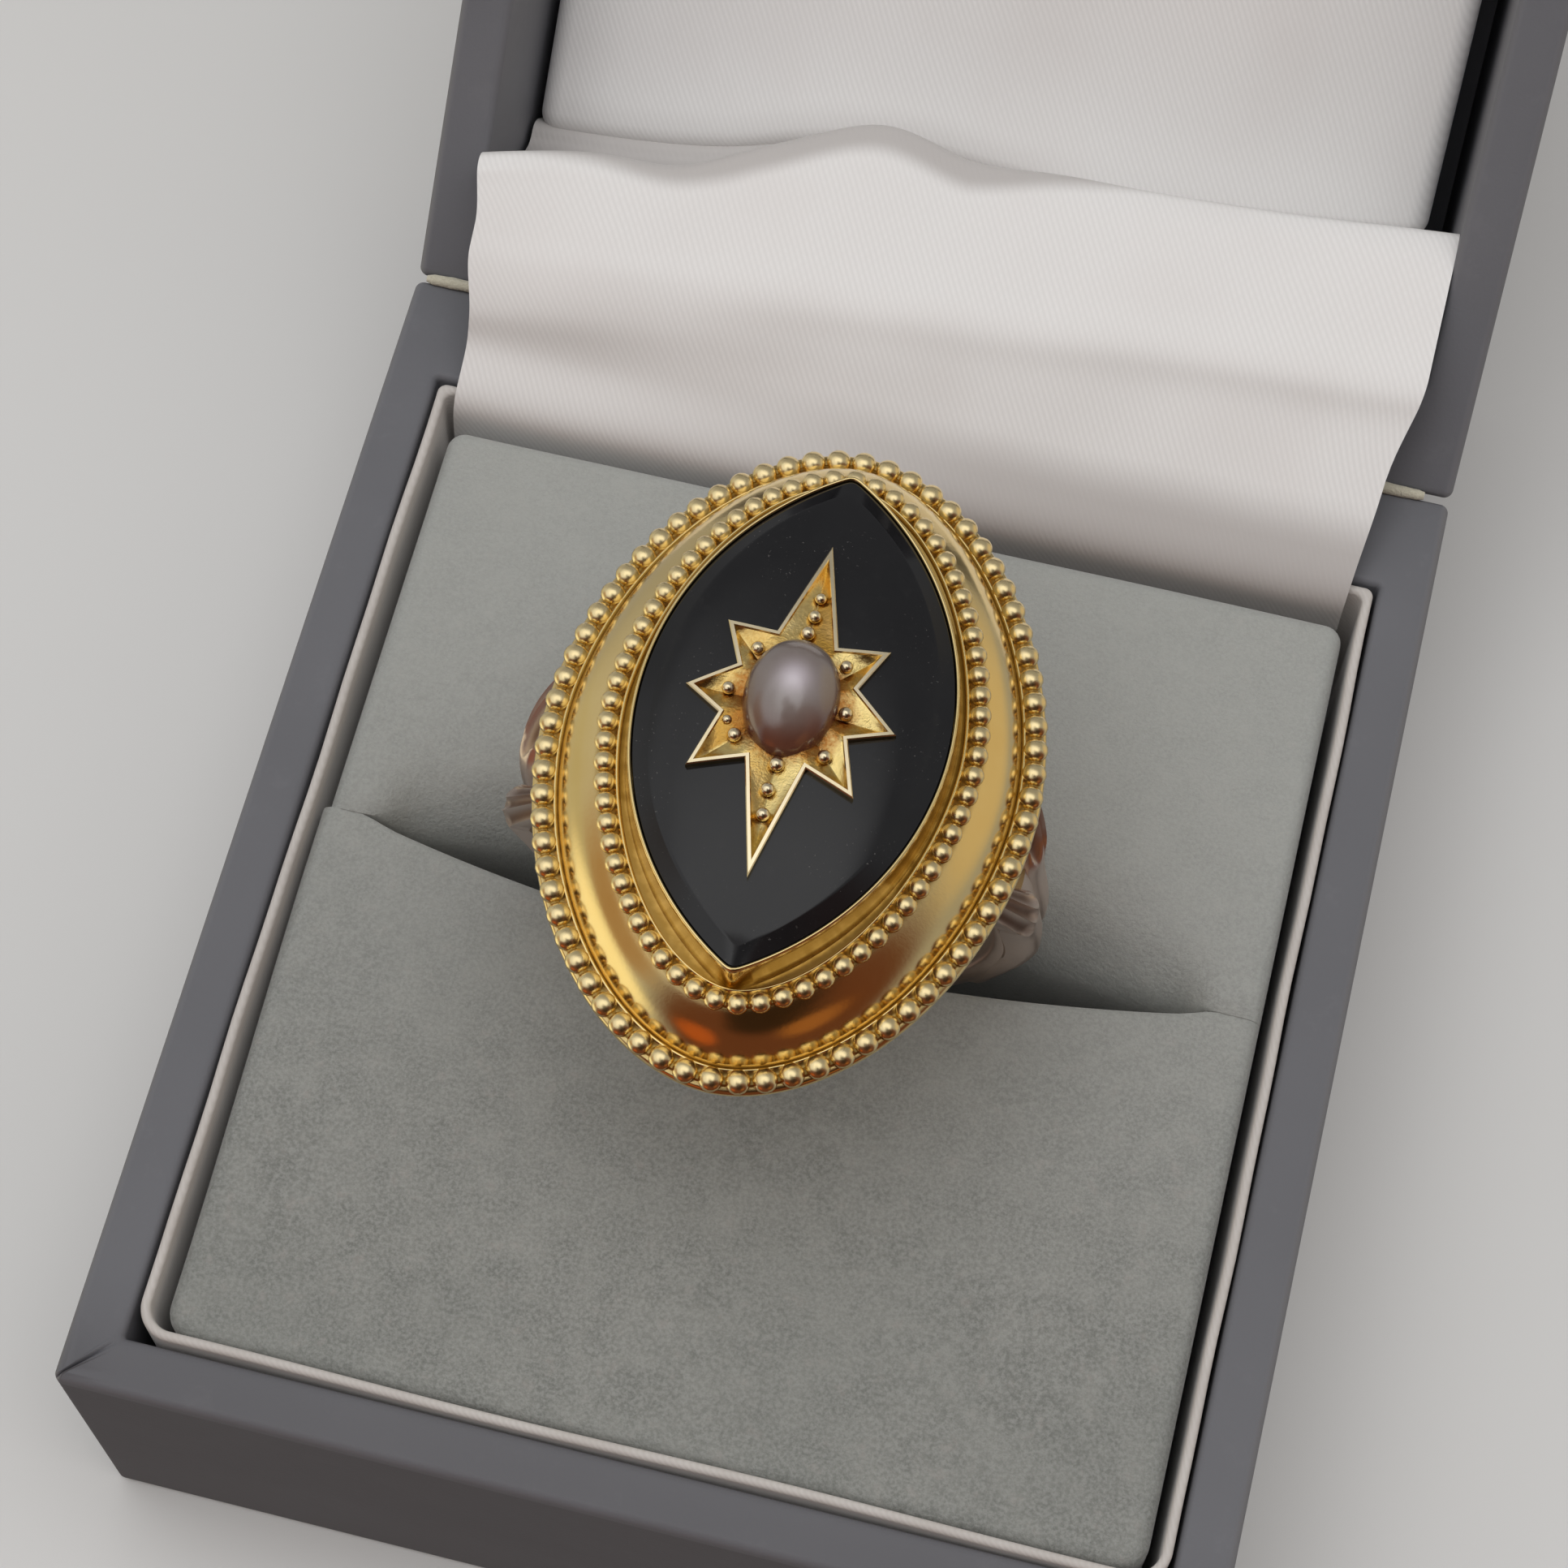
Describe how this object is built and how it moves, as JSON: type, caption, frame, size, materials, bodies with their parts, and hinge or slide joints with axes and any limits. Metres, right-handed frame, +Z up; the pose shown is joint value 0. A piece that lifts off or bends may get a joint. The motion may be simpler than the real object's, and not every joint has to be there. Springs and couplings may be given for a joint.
{
  "type": "onyx ring in ring box",
  "caption": "Gold ring with a marquise onyx, an inlaid star and a pearl in a beaded oval bezel, standing in the slotted pad of a hinged ring box.",
  "frame": {"origin": "centre of the box's underside", "axes": "+Z up, the box opens towards -Y, +X to the right as seen from the front; the finger hole runs along Y"},
  "size_m": [0.047, 0.1059, 0.0516],
  "materials": {
    "yellow_gold": "polished yellow gold, warm in the recesses",
    "rose_gold": "dull rose gold of the hoop and shoulders",
    "onyx": "polished black",
    "pearl": "lustrous grey pink",
    "leatherette": "smooth mid grey leatherette over a stiff shell",
    "velvet": "short grey velvet pile",
    "satin": "white satin with a fine diagonal twill",
    "cream_tape": "matt cream tape"
  },
  "bodies": {
    "base": {"base_tray": "leatherette", "collar": "satin", "pad_front": "velvet", "pad_back": "velvet", "gold_mount": "yellow_gold", "onyx": "onyx", "star": "yellow_gold", "pearl": "pearl", "hinge_strip": "cream_tape", "satin_flap": "satin"},
    "lid": {"lid_shell": "leatherette", "lid_cushion": "satin"}
  },
  "joints": [
    {"name": "lid_hinge", "type": "hinge", "parent": "base", "child": "lid", "pos_m": [0, 0.026, 0.01713], "axis": [1, 0, 0], "range_deg": [0, 138.4], "deforming": ["satin_flap", "lid_cushion"]}
  ]
}
